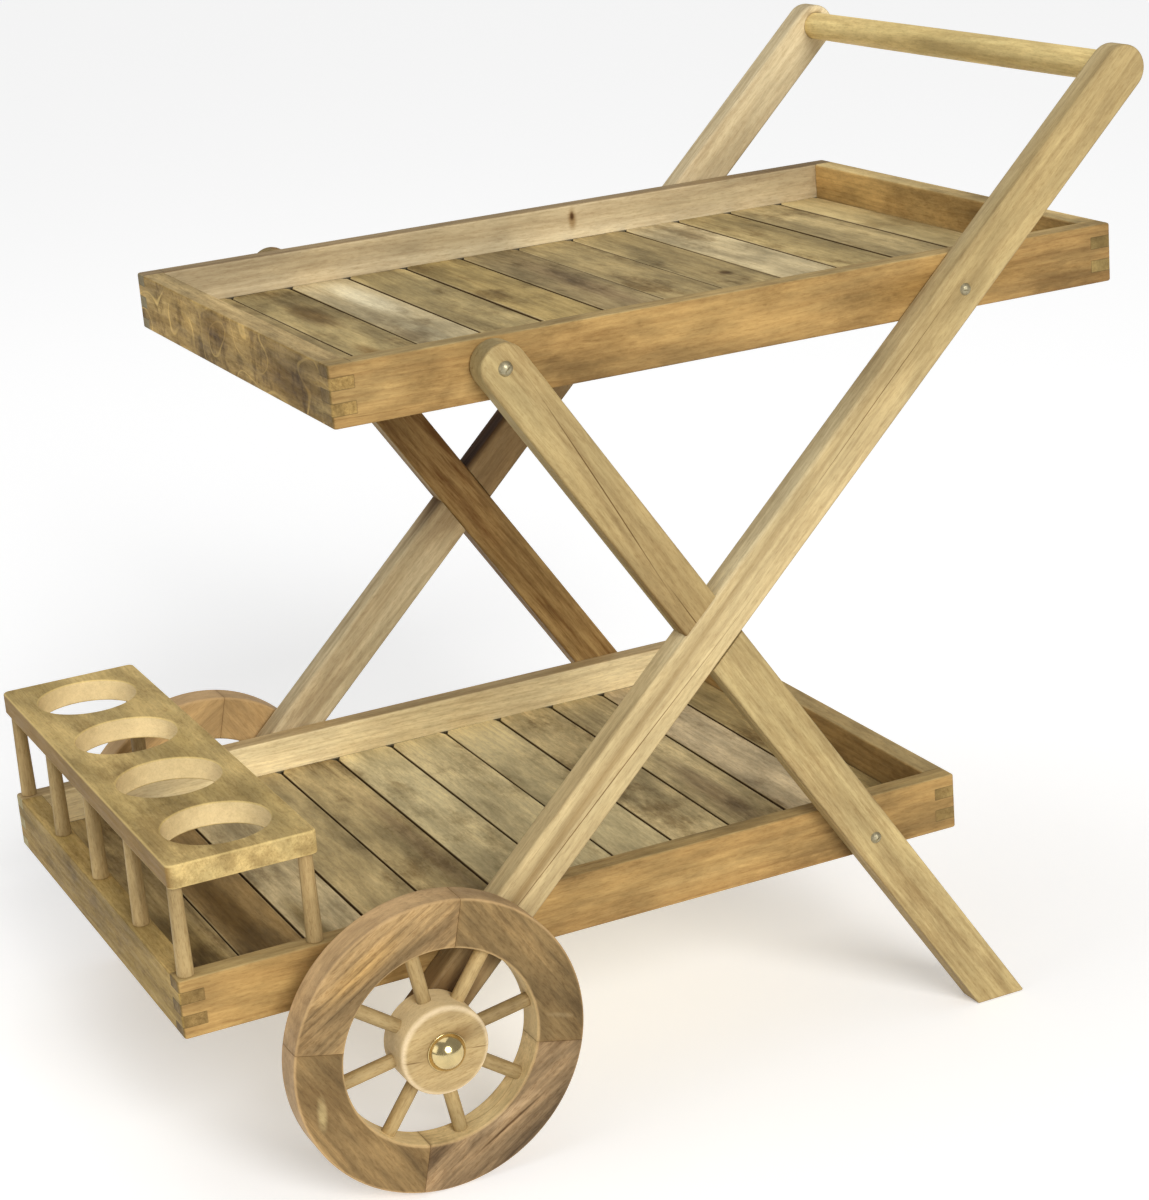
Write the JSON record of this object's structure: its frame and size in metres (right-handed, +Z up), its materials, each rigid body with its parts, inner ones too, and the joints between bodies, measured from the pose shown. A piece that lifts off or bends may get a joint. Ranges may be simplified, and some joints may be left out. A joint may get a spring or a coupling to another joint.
{
  "type": "serving trolley",
  "caption": "Wooden serving trolley with slatted trays between crossed arms, spoked front wheels, a push bar and a bottle rack on the lower tray.",
  "frame": {"origin": "on the floor, in the middle of the overall length and width", "axes": "+X back towards the push bar, +Y to the pusher's right, +Z up"},
  "size_m": [0.9102, 0.6422, 0.8235],
  "materials": {
    "arm_wood": "bare, sanded",
    "tray_wood": "bare, sanded",
    "slat_wood": "bare, weathered",
    "rack_wood": "bare, sanded",
    "felloe_wood": "bare, sanded",
    "hub_wood": "bare, turned",
    "brass": "polished",
    "axle_steel": "bright"
  },
  "bodies": {
    "frame": {"arm_screws": "brass", "axle_washers": "axle_steel", "batten_screws": "brass", "hub_caps": "brass", "left_handle_arm": "arm_wood", "left_leg": "arm_wood", "leg_pivot_bolts": "brass", "lower_batten": "slat_wood", "lower_slat_01": "slat_wood", "lower_slat_02": "slat_wood", "lower_slat_03": "slat_wood", "lower_slat_04": "slat_wood", "lower_slat_05": "slat_wood", "lower_slat_06": "slat_wood", "lower_slat_07": "slat_wood", "lower_slat_08": "slat_wood", "lower_slat_09": "slat_wood", "lower_slat_10": "slat_wood", "lower_slat_11": "slat_wood", "lower_slat_12": "slat_wood", "lower_tray_front_end": "tray_wood", "lower_tray_left_side": "tray_wood", "lower_tray_rear_end": "tray_wood", "lower_tray_right_side": "tray_wood", "push_bar": "arm_wood", "rack_board": "rack_wood", "rack_spindles": "rack_wood", "right_handle_arm": "arm_wood", "right_leg": "arm_wood", "stub_axles": "axle_steel", "upper_batten": "slat_wood", "upper_slat_01": "slat_wood", "upper_slat_02": "slat_wood", "upper_slat_03": "slat_wood", "upper_slat_04": "slat_wood", "upper_slat_05": "slat_wood", "upper_slat_06": "slat_wood", "upper_slat_07": "slat_wood", "upper_slat_08": "slat_wood", "upper_slat_09": "slat_wood", "upper_slat_10": "slat_wood", "upper_slat_11": "slat_wood", "upper_slat_12": "slat_wood", "upper_tray_front_end": "tray_wood", "upper_tray_left_side": "tray_wood", "upper_tray_rear_end": "tray_wood", "upper_tray_right_side": "tray_wood"},
    "left_wheel": {"left_felloe_1": "felloe_wood", "left_felloe_2": "felloe_wood", "left_felloe_3": "felloe_wood", "left_felloe_4": "felloe_wood", "left_wheel_hub": "hub_wood", "left_wheel_spokes": "hub_wood"},
    "right_wheel": {"right_felloe_1": "felloe_wood", "right_felloe_2": "felloe_wood", "right_felloe_3": "felloe_wood", "right_felloe_4": "felloe_wood", "right_wheel_hub": "hub_wood", "right_wheel_spokes": "hub_wood"}
  },
  "joints": [
    {"name": "left_wheel_spin", "type": "hinge", "parent": "frame", "child": "left_wheel", "pos_m": [-0.26509, -0.2848, 0.125], "axis": [0, 1, 0], "continuous": true},
    {"name": "right_wheel_spin", "type": "hinge", "parent": "frame", "child": "right_wheel", "pos_m": [-0.26509, 0.2848, 0.125], "axis": [0, 1, 0], "continuous": true}
  ]
}
